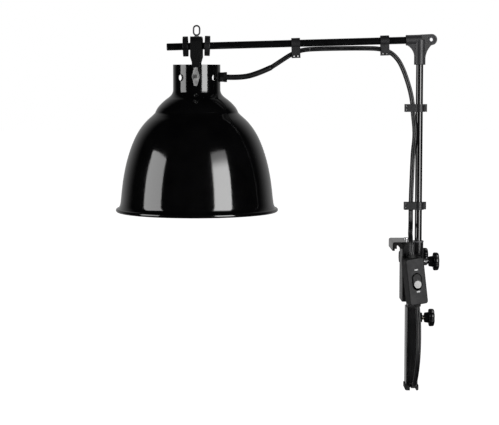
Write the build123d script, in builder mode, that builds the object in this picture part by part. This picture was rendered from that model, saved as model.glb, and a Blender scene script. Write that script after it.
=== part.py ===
from build123d import *
from math import cos, pi, radians, sin, tan
import os

# Grow lamp: a deep spun reflector that hangs by a bail from a tube arm, on a pole that stands
# in a rim clamp. The origin is the middle of the clamp's groove, where the rim's top edge sits.
# +X runs from the lamp towards the pole, -Y is the front, and +Z is up. Millimetres.

os.makedirs("parts", exist_ok=True)

# ---- Driving dimensions ------------------------------------------------------------------
GAP = 0.3  # between pieces of different bodies that only pass each other
FIT = 0.08  # radial running clearance of a shaft in its hole

TUBE_R = 4.75  # arm and pole tubes
TUBE_WALL = 1.0
POLE_X = 28.4
REACH = 295.1  # from the pole's axis to the lamp's
ARM_Z = 270.1  # where the arm's axis meets the pole's
DROOP = 1.6  # degrees that the arm's free end hangs down
ARM_END = 333.4  # along the arm from the pole's axis to its free end

LAMP_X = POLE_X - REACH
NECK_R = 31.3
SKIRT_R = 102.0
RIM_R = 108.0
SHADE_WALL = 0.9
PIVOT_DROP = 40.0  # from the arm's axis to the wing screws
PIVOT_TO_TOP = 15.7  # from the wing screws up to the neck's top edge
PIVOT_TO_RIM = 179.3  # from the wing screws down to the rim

STRAP = 2.0
STRAP_W = 15.0
CORD_R = 2.8  # the round of a flat two-core lead, 6.5 by 4
STUD_R = 3.0  # clamp and lock screws
KNOB_R = 12.0

CLAMP_W = 72.0  # across the two clamp screws' beam
SCREW_Y = 28.0
SCREW_Z = -21.1
HOOK_W = 60.0
GROOVE_W = 5.0
LEG_X, LEG_W, LEG_D = 20.3, 15.6, 30.0
LEG_TOP, LEG_BOTTOM = -84.7, -196.3

# ---- Places worked out from them ---------------------------------------------------------
ARM_ALONG = Vector(-cos(radians(DROOP)), 0, -sin(radians(DROOP)))
ARM_DOWN = Vector(sin(radians(DROOP)), 0, -cos(radians(DROOP)))
LAMP_ON_ARM = REACH / cos(radians(DROOP))
ARM_Z_AT_LAMP = ARM_Z - REACH * tan(radians(DROOP))
PIVOT_Z = ARM_Z_AT_LAMP - PIVOT_DROP
NECK_TOP = PIVOT_Z + PIVOT_TO_TOP
RIM_Z = PIVOT_Z - PIVOT_TO_RIM
LAMP_AXIS = Axis((LAMP_X, 0, 0), (0, 0, 1))


def arm_plane(along):
    """Across the arm, that far from the pole's axis: local x is down, and z runs to the free end."""
    origin = Vector(POLE_X, 0, ARM_Z) + ARM_ALONG * along
    return Plane(origin=origin, x_dir=ARM_DOWN, z_dir=ARM_ALONG)


def pole_plane(z):
    """Across the pole: local x points at the lamp's side, where the lead runs."""
    return Plane(origin=(POLE_X, 0, z), x_dir=(-1, 0, 0), z_dir=(0, 0, 1))


def lamp_plane(z):
    return Plane(origin=(LAMP_X, 0, z))


def lamp_section():
    """The half section of a turned lamp part: local x is the radius and local y is the height."""
    return Plane(origin=(LAMP_X, 0, 0), x_dir=(1, 0, 0), z_dir=(0, -1, 0))


def side_plane(x, y, z, towards=1):
    """Across the X axis, facing +X or -X."""
    return Plane(origin=(x, y, z), x_dir=(0, towards, 0), z_dir=(towards, 0, 0))


def front_plane(x, y, z):
    """Across the Y axis, facing the front, with local x to the right and local y up."""
    return Plane(origin=(x, y, z), x_dir=(1, 0, 0), z_dir=(0, -1, 0))


def back_plane(x, y, z):
    return Plane(origin=(x, y, z), x_dir=(-1, 0, 0), z_dir=(0, 1, 0))


def save(part, label):
    part.label = label
    export_step(part, f"parts/{label}.step")


# ---- Arm, pole and elbow -----------------------------------------------------------------
ELBOW_SOCKET = 18.5  # from the pole's axis to the arm socket's mouth
ELBOW_ARM_R = 6.9
ELBOW_POLE_R = 7.5
ELBOW_DEPTH = 32.8  # from the arm's axis down to the pole socket's mouth
ELBOW_SEAT = 7.0  # how near the tubes come to the elbow's corner
EAR_OUT, EAR_R, EAR_HOLE_R = 15.0, 7.3, 3.4
WEB_T = 9.0

arm_start = arm_plane(ELBOW_SEAT)
with BuildPart() as arm_tube:
    with BuildSketch(arm_start):
        Circle(TUBE_R)
        Circle(TUBE_R - TUBE_WALL, mode=Mode.SUBTRACT)
    extrude(amount=ARM_END - ELBOW_SEAT)
save(arm_tube.part, "arm_tube")

PLUG_DEPTH = 9.0
with BuildPart() as arm_end_plug:
    with BuildSketch(arm_plane(ARM_END)):
        Circle(TUBE_R)
    extrude(amount=1.4)
    with BuildSketch(arm_plane(ARM_END)):
        Circle(TUBE_R - TUBE_WALL)
    extrude(amount=-PLUG_DEPTH)
    chamfer(arm_end_plug.faces().sort_by(Axis.X)[0].edges(), 0.6)
save(arm_end_plug.part, "arm_end_plug")

POLE_BOTTOM = -59.5
POLE_TOP = ARM_Z - ELBOW_SEAT
with BuildPart() as pole_tube:
    with BuildSketch(pole_plane(POLE_BOTTOM)):
        Circle(TUBE_R)
        Circle(TUBE_R - TUBE_WALL, mode=Mode.SUBTRACT)
    extrude(amount=POLE_TOP - POLE_BOTTOM)
save(pole_tube.part, "pole_tube")

ear_x = POLE_X + EAR_OUT
ear_z = ARM_Z + EAR_OUT * tan(radians(DROOP))
with BuildPart() as elbow:
    # Two sockets, and a flat web between them that runs out to the ear.
    with BuildSketch(arm_plane(-2)):
        Circle(ELBOW_ARM_R)
    extrude(amount=ELBOW_SOCKET + 2)
    with BuildSketch(pole_plane(ARM_Z - ELBOW_DEPTH)):
        Circle(ELBOW_POLE_R)
    extrude(amount=ELBOW_DEPTH)
    with BuildSketch(front_plane(0, WEB_T / 2, 0)):
        with BuildLine():
            mouth, side = POLE_X - ELBOW_SOCKET + 1, ELBOW_POLE_R - 0.5
            under_arm, foot = ARM_Z - ELBOW_ARM_R + 0.4, ARM_Z - ELBOW_DEPTH + 3
            curve_end = ARM_Z - 24.5
            Polyline(
                (mouth, under_arm),
                (mouth, ARM_Z + ELBOW_ARM_R - 0.9),
                (ear_x, ear_z + EAR_R),
                (ear_x, ear_z - EAR_R),
            )
            ThreePointArc((ear_x, ear_z - EAR_R), (POLE_X + 9.6, ARM_Z - 14.4), (POLE_X + side, curve_end))
            Polyline(
                (POLE_X + side, curve_end),
                (POLE_X + side, foot),
                (POLE_X - side, foot),
                (POLE_X - side, curve_end),
            )
            ThreePointArc((POLE_X - side, curve_end), (POLE_X - 9.7, ARM_Z - 13.4), (mouth, under_arm))
        make_face()
        with Locations((ear_x, ear_z)):
            Circle(EAR_R)
    extrude(amount=WEB_T)
    fillet(elbow.edges().group_by(Axis.Z)[0], 0.8)
    with BuildSketch(arm_start):
        Circle(TUBE_R + 0.02)
    extrude(amount=ELBOW_SOCKET, mode=Mode.SUBTRACT)
    with BuildSketch(pole_plane(POLE_TOP)):
        Circle(TUBE_R + 0.02)
    extrude(amount=-ELBOW_DEPTH, mode=Mode.SUBTRACT)
    with BuildSketch(front_plane(ear_x, WEB_T / 2, ear_z)):
        Circle(EAR_HOLE_R)
    extrude(amount=WEB_T, mode=Mode.SUBTRACT)
    with BuildSketch(front_plane(ear_x, -WEB_T / 2, ear_z)):
        Circle(EAR_HOLE_R + 1.6)
    extrude(amount=-1.2, mode=Mode.SUBTRACT)
save(elbow.part, "elbow")

with BuildPart() as elbow_eyelet:
    # A turned eyelet that lines the ear's hole.
    with BuildSketch(front_plane(ear_x, WEB_T / 2, ear_z)):
        Circle(EAR_HOLE_R)
        Circle(EAR_HOLE_R - 1.0, mode=Mode.SUBTRACT)
    extrude(amount=WEB_T - 1.2)
    with BuildSketch(front_plane(ear_x, -WEB_T / 2 + 1.2, ear_z)):
        Circle(EAR_HOLE_R + 1.4)
        Circle(EAR_HOLE_R - 1.0, mode=Mode.SUBTRACT)
    extrude(amount=0.9)
save(elbow_eyelet.part, "elbow_eyelet")


# ---- Cord clips --------------------------------------------------------------------------
CLIP_R, CLIP_OUT, CLIP_HALF, CLIP_SLOT = 7.2, 19.2, 5.2, 6.4
ARM_CLIP_L, POLE_CLIP_L = 11.4, 10.2


def clip_outline():
    """The section of a clip, in a sketch: a ring for the tube and a jaw for the flat lead."""
    Circle(CLIP_R)
    with Locations((CLIP_OUT / 2, 0)):
        Rectangle(CLIP_OUT, 2 * CLIP_HALF)
    with Locations((CLIP_OUT - 1.2, 0)):
        Rectangle(2.4, 2 * CLIP_HALF + 2.4)
    Circle(TUBE_R + 0.02, mode=Mode.SUBTRACT)
    with Locations((10.6, 0)):
        SlotOverall(13.6, CLIP_SLOT, mode=Mode.SUBTRACT)
    with Locations((CLIP_OUT, 0)):
        Rectangle(6.0, 1.4, mode=Mode.SUBTRACT)


arm_clips_at = [LAMP_ON_ARM - 131.0, 46.6]
with BuildPart() as arm_cord_clips:
    for along in arm_clips_at:
        with BuildSketch(arm_plane(along - ARM_CLIP_L / 2)):
            clip_outline()
        extrude(amount=ARM_CLIP_L)
    # The latch windows near each jaw's end.
    for along in arm_clips_at:
        for side in (-2.6, 2.6):
            across = arm_plane(along + side)
            window = Plane(origin=across.origin + ARM_DOWN * 16.8, x_dir=ARM_DOWN, z_dir=(0, -1, 0))
            with BuildSketch(window):
                Rectangle(1.4, 1.8)
            extrude(amount=CLIP_HALF + 2, both=True, mode=Mode.SUBTRACT)
save(arm_cord_clips.part, "arm_cord_clips")

pole_clips_at = [180.3, 50.2]
with BuildPart() as pole_cord_clips:
    for z in pole_clips_at:
        with BuildSketch(pole_plane(z - POLE_CLIP_L / 2)):
            clip_outline()
            with Locations((-CLIP_R - 1.2, -4.0)):
                Rectangle(4.4, 2.4)
        extrude(amount=POLE_CLIP_L)
    for z in pole_clips_at:
        with BuildSketch(front_plane(POLE_X - 16.8, 0, z)):
            with GridLocations(0, 5.2, 1, 2):
                Rectangle(1.4, 1.8)
        extrude(amount=CLIP_HALF + 2, both=True, mode=Mode.SUBTRACT)
save(pole_cord_clips.part, "pole_cord_clips")


# ---- Stop collars, each side of the bail ---------------------------------------------------
COLLAR_R, COLLAR_L = 13.3, 7.0


def stop_collar(along, lean, bore_r):
    """A split collar that pinches the arm. lean tips it a little, as a loose one sits."""
    plane = arm_plane(along).rotated((0, lean, 0))
    with BuildPart() as collar:
        with BuildSketch(plane.offset(-COLLAR_L / 2)):
            Circle(COLLAR_R)
        extrude(amount=COLLAR_L)
        fillet(collar.edges(), 0.7)
        with BuildSketch(plane.offset(-COLLAR_L / 2)):
            Circle(bore_r)
            with Locations((0, -COLLAR_R / 2 - 1)):
                Rectangle(1.6, COLLAR_R + 2)
            with PolarLocations(COLLAR_R + 0.6, 10):
                Circle(1.5)
        extrude(amount=COLLAR_L, mode=Mode.SUBTRACT)
    return collar.part


save(stop_collar(LAMP_ON_ARM + 14.6, 0, TUBE_R + FIT), "stop_collar_left")
save(stop_collar(LAMP_ON_ARM - 14.2, 3.5, TUBE_R + 0.35), "stop_collar_right")

# ---- Bail, eye and wing nuts ---------------------------------------------------------------
BAIL_IN = NECK_R + 0.9  # the bail's inner face, beside the neck
BAIL_TOP = ARM_Z_AT_LAMP + 12.3
BAIL_BOTTOM = PIVOT_Z - 7.5
SCREW_R = 2.5
BAIL_BEND = 6.0
with BuildPart() as bail_strap:
    # A rounded hoop, cut to a bail by the front silhouette.
    with BuildSketch(side_plane(LAMP_X - STRAP_W / 2, 0, BAIL_BOTTOM)):
        RectangleRounded(2 * (BAIL_IN + STRAP), 2 * (BAIL_TOP - BAIL_BOTTOM), BAIL_BEND + STRAP)
        RectangleRounded(2 * BAIL_IN, 2 * (BAIL_TOP - BAIL_BOTTOM - STRAP), BAIL_BEND, mode=Mode.SUBTRACT)
    extrude(amount=STRAP_W)
    with BuildSketch(front_plane(LAMP_X, 60, 0)) as silhouette:
        with BuildLine():
            Polyline(
                (-STRAP_W / 2, BAIL_TOP + 1),
                (-STRAP_W / 2, PIVOT_Z + 26),
                (-5.3, PIVOT_Z + 18.5),
                (-5.3, PIVOT_Z),
                (5.3, PIVOT_Z),
                (5.3, PIVOT_Z + 18.5),
                (STRAP_W / 2, PIVOT_Z + 26),
                (STRAP_W / 2, BAIL_TOP + 1),
                close=True,
            )
        make_face()
        with Locations((0, PIVOT_Z)):
            Circle(7.0)
    extrude(amount=120, mode=Mode.INTERSECT)
    with BuildSketch(front_plane(LAMP_X, 60, PIVOT_Z)):
        Circle(SCREW_R + FIT)
    extrude(amount=120, mode=Mode.SUBTRACT)
    with BuildSketch(lamp_plane(BAIL_TOP - STRAP)):
        Circle(1.6 + FIT)
    extrude(amount=STRAP, mode=Mode.SUBTRACT)
save(bail_strap.part, "bail_strap")

EYE_WIRE_R, EYE_HALF_W, EYE_HALF_H = 1.05, 4.0, 6.2
eye_z = BAIL_TOP + 8.4
with BuildPart() as eye_ring:
    straight = EYE_HALF_H - EYE_HALF_W
    eye_right, eye_left = LAMP_X + EYE_HALF_W, LAMP_X - EYE_HALF_W
    with BuildLine():
        right_side = Line((eye_right, 0, eye_z - straight), (eye_right, 0, eye_z + straight))
        ThreePointArc(right_side @ 1, (LAMP_X, 0, eye_z + EYE_HALF_H), (eye_left, 0, eye_z + straight))
        left_side = Line((eye_left, 0, eye_z + straight), (eye_left, 0, eye_z - straight))
        ThreePointArc(left_side @ 1, (LAMP_X, 0, eye_z - EYE_HALF_H), right_side @ 0)
    with BuildSketch(Plane(origin=(eye_right, 0, eye_z - straight), z_dir=(0, 0, 1))):
        Circle(EYE_WIRE_R)
    sweep()
    # The shank goes through the bail and is riveted over under the nut.
    with BuildSketch(lamp_plane(BAIL_TOP - 7.0)):
        Circle(1.6)
    extrude(amount=eye_z - EYE_HALF_H - BAIL_TOP + 7.0)
    with BuildSketch(lamp_plane(BAIL_TOP + GAP)):
        Circle(3.0)
    extrude(amount=1.2)
save(eye_ring.part, "eye_ring")

with BuildPart() as eye_nut:
    with BuildSketch(lamp_plane(ARM_Z_AT_LAMP + TUBE_R + GAP)):
        RegularPolygon(4.4, 6)
    extrude(amount=BAIL_TOP - STRAP - GAP - (ARM_Z_AT_LAMP + TUBE_R + GAP))
    with BuildSketch(lamp_plane(BAIL_TOP - 7.0)):
        Circle(1.6)
    extrude(amount=7.0, mode=Mode.SUBTRACT)
save(eye_nut.part, "eye_nut")

WASHER_T = 1.2
STUD_END = 45.5  # how far the wing screws reach from the lamp's axis
with BuildPart() as pivot_studs:
    for face in (front_plane(LAMP_X, 0, PIVOT_Z), back_plane(LAMP_X, 0, PIVOT_Z)):
        with BuildSketch(face.offset(NECK_R - 7.5)):
            Circle(SCREW_R)
        extrude(amount=STUD_END - NECK_R + 7.5)
save(pivot_studs.part, "pivot_studs")

with BuildPart() as pivot_nuts:
    for face in (front_plane(LAMP_X, 0, PIVOT_Z), back_plane(LAMP_X, 0, PIVOT_Z)):
        with BuildSketch(face.offset(NECK_R - 6.5)):
            RegularPolygon(4.6, 6)
            Circle(SCREW_R, mode=Mode.SUBTRACT)
        extrude(amount=3.2)
save(pivot_nuts.part, "pivot_nuts")

with BuildPart() as pivot_washers:
    for face in (front_plane(LAMP_X, 0, PIVOT_Z), back_plane(LAMP_X, 0, PIVOT_Z)):
        with BuildSketch(face.offset(BAIL_IN + STRAP)):
            Circle(6.2)
            Circle(SCREW_R + FIT, mode=Mode.SUBTRACT)
        extrude(amount=WASHER_T)
save(pivot_washers.part, "pivot_washers")


def wing_nut(face):
    """A pressed wing nut, its wings standing up and down."""
    with BuildPart() as nut:
        with BuildSketch(face):
            Circle(5.4)
        extrude(amount=6.5, taper=4)
        with BuildSketch(face.offset(2.0)):
            with BuildLine():
                Polyline((0, -12.4), (2.1, -11.6), (3.9, -4), (3.9, 4), (2.1, 11.6), (0, 12.4))
                mirror(about=Plane.YZ)
            make_face()
        extrude(amount=4.6)
        fillet(nut.faces().sort_by(Axis.Z)[-1].edges(), 0.3)
        with BuildSketch(face):
            Circle(SCREW_R + FIT)
        extrude(amount=12, mode=Mode.SUBTRACT)
    return nut.part


nut_out = BAIL_IN + STRAP + WASHER_T + GAP / 2
save(wing_nut(front_plane(LAMP_X, -nut_out, PIVOT_Z)), "wing_nut_front")
save(wing_nut(back_plane(LAMP_X, nut_out, PIVOT_Z)), "wing_nut_rear")

# ---- Reflector shade -----------------------------------------------------------------------
# Heights below the wing screws at which the outline turns.
FLARE_Z = PIVOT_Z - 19.5  # the neck's straight side ends
SHOULDER_R, SHOULDER_Z = 48.0, PIVOT_Z - 37.0
CREASE_R, CREASE_Z = 55.6, PIVOT_Z - 47.3
BEAD_R = 2.6
BEAD_Z = RIM_Z + BEAD_R
VENT_R, VENT_Z = 4.5, PIVOT_Z - 1.5
FIRST_VENT = 50.5  # degrees from the gland's side
GLAND_R = 4.8
GLAND_Z = PIVOT_Z - 0.7


def shade_outline(inside):
    """Half of the shade's outline, closed along its axis: 0 for the outer skin, 1 for the inner."""
    thin = SHADE_WALL * inside
    down = 0.6 * thin
    with BuildLine() as outline:
        neck = Line((NECK_R - thin, NECK_TOP + inside), (NECK_R - thin, FLARE_Z - down))
        flare = Spline(
            neck @ 1,
            (36.2 - thin, PIVOT_Z - 26.2 - down),
            (SHOULDER_R - thin, SHOULDER_Z - down),
            (CREASE_R - thin, CREASE_Z - down),
            tangents=((0, -1), (0.35, -1)),
        )
        dome = Spline(
            flare @ 1,
            (75.3 - thin, PIVOT_Z - 68.8 - down),
            (91.0 - thin, PIVOT_Z - 104.0 - down),
            (SKIRT_R - 1.5 - thin, PIVOT_Z - 155.0),
            (RIM_R - BEAD_R - thin, BEAD_Z - inside),
            tangents=((1, -1.05), (0.5, -1)),
        )
        Polyline(dome @ 1, (0, BEAD_Z - inside), (0, NECK_TOP + inside), neck @ 0)
    return outline.edges()


with BuildPart() as reflector_shade:
    with BuildSketch(lamp_section()):
        make_face(shade_outline(0))
    revolve(axis=LAMP_AXIS)
    with BuildSketch(lamp_section()):
        make_face(shade_outline(1))
    revolve(axis=LAMP_AXIS, mode=Mode.SUBTRACT)
    # The rolled bead round the rim.
    with BuildSketch(lamp_section()):
        with Locations((RIM_R - BEAD_R, BEAD_Z)):
            Circle(BEAD_R)
    revolve(axis=LAMP_AXIS)
    for quarter in range(4):
        turn = FIRST_VENT + 90 * quarter
        vent = Plane(origin=(LAMP_X, 0, VENT_Z), x_dir=(0, 0, 1), z_dir=(cos(radians(turn)), sin(radians(turn)), 0))
        with BuildSketch(vent):
            Circle(VENT_R)
        extrude(amount=NECK_R + 5, mode=Mode.SUBTRACT)
    with BuildSketch(front_plane(LAMP_X, 50, PIVOT_Z)):
        Circle(SCREW_R)
    extrude(amount=100, mode=Mode.SUBTRACT)
    with BuildSketch(side_plane(LAMP_X, 0, GLAND_Z)):
        Circle(GLAND_R)
    extrude(amount=NECK_R + 5, mode=Mode.SUBTRACT)
save(reflector_shade.part, "reflector_shade")

with BuildPart() as neck_cap:
    # A shallow dish pressed into the neck's top, with a ring of air slots.
    with BuildSketch(lamp_plane(NECK_TOP - 6)):
        Circle(NECK_R - SHADE_WALL)
    extrude(amount=5)
    with BuildSketch(lamp_plane(NECK_TOP - 6)):
        Circle(NECK_R - SHADE_WALL - 0.9)
    extrude(amount=4, mode=Mode.SUBTRACT)
    with BuildSketch(lamp_plane(NECK_TOP - 2)):
        with PolarLocations(20, 8):
            SlotOverall(11, 3.2)
    extrude(amount=2, mode=Mode.SUBTRACT)
save(neck_cap.part, "neck_cap")

# ---- Lampholder, its bracket, and the bulb ---------------------------------------------------
HOLDER_R = 18.4
HOLDER_TOP = PIVOT_Z + 6.8
HOLDER_BOTTOM = PIVOT_Z - 36.0
CAP_R = 13.0  # of the bulb's screw cap
CAP_TOP = PIVOT_Z - 7.0
CAP_BOTTOM = PIVOT_Z - 30.0
SHELL_T = 0.7
with BuildPart() as socket_bracket:
    half = NECK_R - SHADE_WALL - 0.8
    with BuildSketch(side_plane(LAMP_X - 6.5, 0, 0)):
        with Locations((0, PIVOT_Z + 8.0)):
            Rectangle(2 * half, 1.6)
        for side in (-1, 1):
            with Locations((side * (half - 0.8), PIVOT_Z + 1.2)):
                Rectangle(1.6, 15)
    extrude(amount=13)
    with BuildSketch(front_plane(LAMP_X, 50, PIVOT_Z)):
        Circle(SCREW_R)
    extrude(amount=100, mode=Mode.SUBTRACT)
    with BuildSketch(lamp_plane(PIVOT_Z + 7)):
        with GridLocations(0, 22, 1, 2):
            Circle(1.5)
    extrude(amount=4, mode=Mode.SUBTRACT)
save(socket_bracket.part, "socket_bracket")

with BuildPart() as lampholder_body:
    with BuildSketch(lamp_section()):
        with BuildLine():
            Polyline(
                (0, HOLDER_TOP),
                (16.0, HOLDER_TOP),
                (HOLDER_R, HOLDER_TOP - 6),
                (HOLDER_R, HOLDER_BOTTOM),
                (CAP_R + 1.0, HOLDER_BOTTOM),
                (CAP_R + 1.0, CAP_TOP + 5),
                (0, CAP_TOP + 5),
                close=True,
            )
        make_face()
    revolve(axis=LAMP_AXIS)
    with BuildSketch(lamp_plane(HOLDER_TOP)):
        with GridLocations(0, 22, 1, 2):
            Circle(1.5)
    extrude(amount=-5, mode=Mode.SUBTRACT)
save(lampholder_body.part, "lampholder_body")

with BuildPart() as lampholder_shell:
    with BuildSketch(lamp_plane(CAP_BOTTOM)):
        Circle(CAP_R + 0.1 + SHELL_T)
        Circle(CAP_R + 0.1, mode=Mode.SUBTRACT)
    extrude(amount=CAP_TOP + 4.2 - CAP_BOTTOM)
    with BuildSketch(lamp_plane(CAP_TOP + 4.2)):
        Circle(CAP_R + 0.1 + SHELL_T)
        Circle(6, mode=Mode.SUBTRACT)
    extrude(amount=0.7)
save(lampholder_shell.part, "lampholder_shell")

with BuildPart() as lampholder_contact:
    # The centre contact's tongue, riveted to the holder's roof.
    with BuildSketch(side_plane(LAMP_X - 2.5, 0, 0)):
        with BuildLine():
            Polyline((-3.5, CAP_TOP + 5), (3.5, CAP_TOP + 5), (3.5, CAP_TOP + 4.4), (-2.6, CAP_TOP + 4.4))
            Polyline((-2.6, CAP_TOP + 4.4), (1.5, CAP_TOP + 2.7), (1.3, CAP_TOP + 2.2), (-3.5, CAP_TOP + 4.3))
            Line((-3.5, CAP_TOP + 4.3), (-3.5, CAP_TOP + 5))
        make_face()
    extrude(amount=5)
save(lampholder_contact.part, "lampholder_contact")

with BuildPart() as lampholder_screws:
    with BuildSketch(lamp_plane(PIVOT_Z + 8.8)):
        with GridLocations(0, 22, 1, 2):
            Circle(2.8)
    extrude(amount=1.8)
    fillet(lampholder_screws.faces().sort_by(Axis.Z)[-1].edges(), 0.7)
    with BuildSketch(lamp_plane(PIVOT_Z + 8.8)):
        with GridLocations(0, 22, 1, 2):
            Circle(1.5)
    extrude(amount=-6.4)
save(lampholder_screws.part, "lampholder_screws")

with BuildPart() as bulb_contact:
    with BuildSketch(lamp_plane(CAP_TOP + 0.1)):
        Circle(4.2)
    extrude(amount=1.7, taper=25)
save(bulb_contact.part, "bulb_contact")

with BuildPart() as bulb_cap:
    with BuildSketch(lamp_section()):
        with BuildLine():
            Polyline(
                (0, CAP_TOP),
                (8, CAP_TOP),
                (CAP_R, CAP_TOP - 3.5),
                (CAP_R, CAP_BOTTOM),
                (0, CAP_BOTTOM),
                close=True,
            )
        make_face()
    revolve(axis=LAMP_AXIS)
save(bulb_cap.part, "bulb_cap")

BULB_R, BULB_END = 30.0, PIVOT_Z - 118.0
with BuildPart() as bulb_glass:
    with BuildSketch(lamp_section()):
        with BuildLine():
            stem = Line((0, CAP_BOTTOM), (CAP_R - 0.2, CAP_BOTTOM))
            side = Spline(
                stem @ 1,
                (16.5, CAP_BOTTOM - 14),
                (BULB_R, BULB_END + BULB_R),
                tangents=((0, -1), (0, -1)),
            )
            end = RadiusArc(side @ 1, (0, BULB_END), BULB_R)
            Line(end @ 1, (0, CAP_BOTTOM))
        make_face()
    revolve(axis=LAMP_AXIS)
save(bulb_glass.part, "bulb_glass")

# ---- Cord gland on the neck --------------------------------------------------------------------
neck_side = LAMP_X + NECK_R
GLAND_END = neck_side + 8.8
with BuildPart() as gland_body:
    with BuildSketch(side_plane(neck_side - 9, 0, GLAND_Z)):
        Circle(GLAND_R)
    extrude(amount=9)
    with BuildSketch(side_plane(neck_side, 0, GLAND_Z)):
        RegularPolygon(7.2, 6)
    extrude(amount=4.6)
    with BuildSketch(side_plane(neck_side + 4.6, 0, GLAND_Z)):
        RegularPolygon(6.6, 6, rotation=30)
    extrude(amount=GLAND_END - neck_side - 4.6)
    with BuildSketch(side_plane(neck_side - 9, 0, GLAND_Z)):
        Circle(CORD_R)
    extrude(amount=14, mode=Mode.SUBTRACT)
save(gland_body.part, "gland_body")

with BuildPart() as gland_nut:
    with BuildSketch(side_plane(neck_side - 6.4, 0, GLAND_Z)):
        RegularPolygon(7.4, 6)
        Circle(GLAND_R, mode=Mode.SUBTRACT)
    extrude(amount=4.0)
save(gland_nut.part, "gland_nut")


# ---- The lamp lead -----------------------------------------------------------------------------
def corner_radii(route):
    """One radius for each inner point: as large an arc as the two runs beside it allow."""
    radii = []
    for before, here, after in zip(route, route[1:], route[2:]):
        run_in, run_out = Vector(here) - Vector(before), Vector(after) - Vector(here)
        half_turn = radians(run_in.get_angle(run_out)) / 2
        radii.append(0.45 * min(run_in.length, run_out.length) / tan(half_turn))
    return radii


def lay_tube(route, outer, inner=0.0, label=""):
    """A round tube along a route of straight runs joined by tangent arcs."""
    radii = corner_radii(route)
    with BuildPart() as tube:
        with BuildLine() as path:
            FilletPolyline(*route, radius=radii)
        line = path.wires()[0]
        with BuildSketch(Plane(origin=line @ 0, z_dir=line % 0)):
            Circle(outer)
            if inner:
                Circle(inner, mode=Mode.SUBTRACT)
        sweep(path=line)
    swept = pi * (outer**2 - inner**2) * line.length
    print(f"{label}: {line.length:.1f} mm, smallest radius {min(radii):.1f} mm,", end=" ")
    print(f"volume {tube.part.volume:.0f} of {swept:.0f}")
    return tube.part


GLAND_SWING = 1.2  # what the gland's corner needs as the lamp tilts
LEAD_START = [  # out of the gland and through the heat sleeve
    (GLAND_END + GLAND_SWING, 0, GLAND_Z),
    (-209, 0, 220.2),
    (-187, 0, 225.2),
    (-168, 0, 234.0),
]
LEAD_RUN = [  # up to the arm, along it, round the elbow and down the pole
    (-167.35, 0, 234.4),
    (-155.5, 0, 242.2),
    (-141.5, 0, 251.4),
    (-127, 0, 257.2),
    (-106, 0, 258.4),
    (-74, 0, 259.0),
    (-45, 0, 259.2),
    (-25, 0, 258.7),
    (-10.5, 0, 254.2),
    (-0.4, 0, 244.8),
    (6.3, 0, 232.2),
    (11.6, 0, 218),
    (16.2, 0, 203),
    (19.4, 0, 187),
    (20.3, -0.4, 171),
    (22, -4.7, 155),
    (22, -5.2, 139),
    (20.4, -2, 123),
    (19.9, 0, 106),
    (19.2, 0, 84),
    (18.4, 0, 62),
    (18.3, 0, 44.9),
]
save(lay_tube(LEAD_START, CORD_R, label="lamp lead, start"), "lamp_lead_start")
save(lay_tube(LEAD_RUN, CORD_R, label="lamp lead, run"), "lamp_lead_run")
save(lay_tube(LEAD_START, CORD_R + 0.9, CORD_R + 0.05, "heat sleeve"), "lead_heat_sleeve")

# ---- In-line switch ----------------------------------------------------------------------------
SWITCH_W, SWITCH_H, SWITCH_D = 25.0, 61.0, 18.0
SWITCH_AT = (19.3, -48.9, -44.3)
SWITCH_YAW, SWITCH_ROLL = radians(14), radians(7)
switch_out = Vector(sin(SWITCH_YAW), -cos(SWITCH_YAW), 0)
level = Vector(cos(SWITCH_YAW), sin(SWITCH_YAW), 0)
switch_x = level * cos(SWITCH_ROLL) + Vector(0, 0, 1) * sin(SWITCH_ROLL)
switch_y = Vector(0, 0, 1) * cos(SWITCH_ROLL) - level * sin(SWITCH_ROLL)
switch_mid = Plane(origin=SWITCH_AT, x_dir=switch_x, z_dir=switch_out)
switch_across = Plane(origin=SWITCH_AT, x_dir=switch_x, z_dir=switch_y)
GROMMET_W, GROMMET_T, GROMMET_L = 10.0, 7.6, 4.0
SPLIT = -1.0  # where the two shells meet
SWITCH_WALL = 1.8
ROCKER_W, ROCKER_H = 12.6, 20.2
ROCKER_TIP = 6.0  # degrees that the rocker leans while its top is pressed in

with BuildPart() as switch_cover:
    with BuildSketch(switch_mid.offset(SPLIT)):
        RectangleRounded(SWITCH_W, SWITCH_H, 3.4)
    extrude(amount=SWITCH_D / 2 - SPLIT)
    front_edges = switch_cover.faces().sort_by(Axis((0, 0, 0), switch_out))[-1].edges()
    fillet(front_edges, 1.4)
    with BuildSketch(switch_mid.offset(SPLIT)):
        RectangleRounded(SWITCH_W - 2 * SWITCH_WALL, SWITCH_H - 2 * SWITCH_WALL, 2.0)
    extrude(amount=SWITCH_D / 2 - SPLIT - SWITCH_WALL, mode=Mode.SUBTRACT)
    with BuildSketch(switch_mid.offset(SPLIT)):
        SlotOverall(ROCKER_H + 2.6, ROCKER_W + 1.0, rotation=90)
    extrude(amount=SWITCH_D, mode=Mode.SUBTRACT)
    with BuildSketch(switch_across):
        SlotOverall(GROMMET_W, GROMMET_T)
    extrude(amount=SWITCH_H, both=True, mode=Mode.SUBTRACT)
save(switch_cover.part, "switch_cover")

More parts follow.
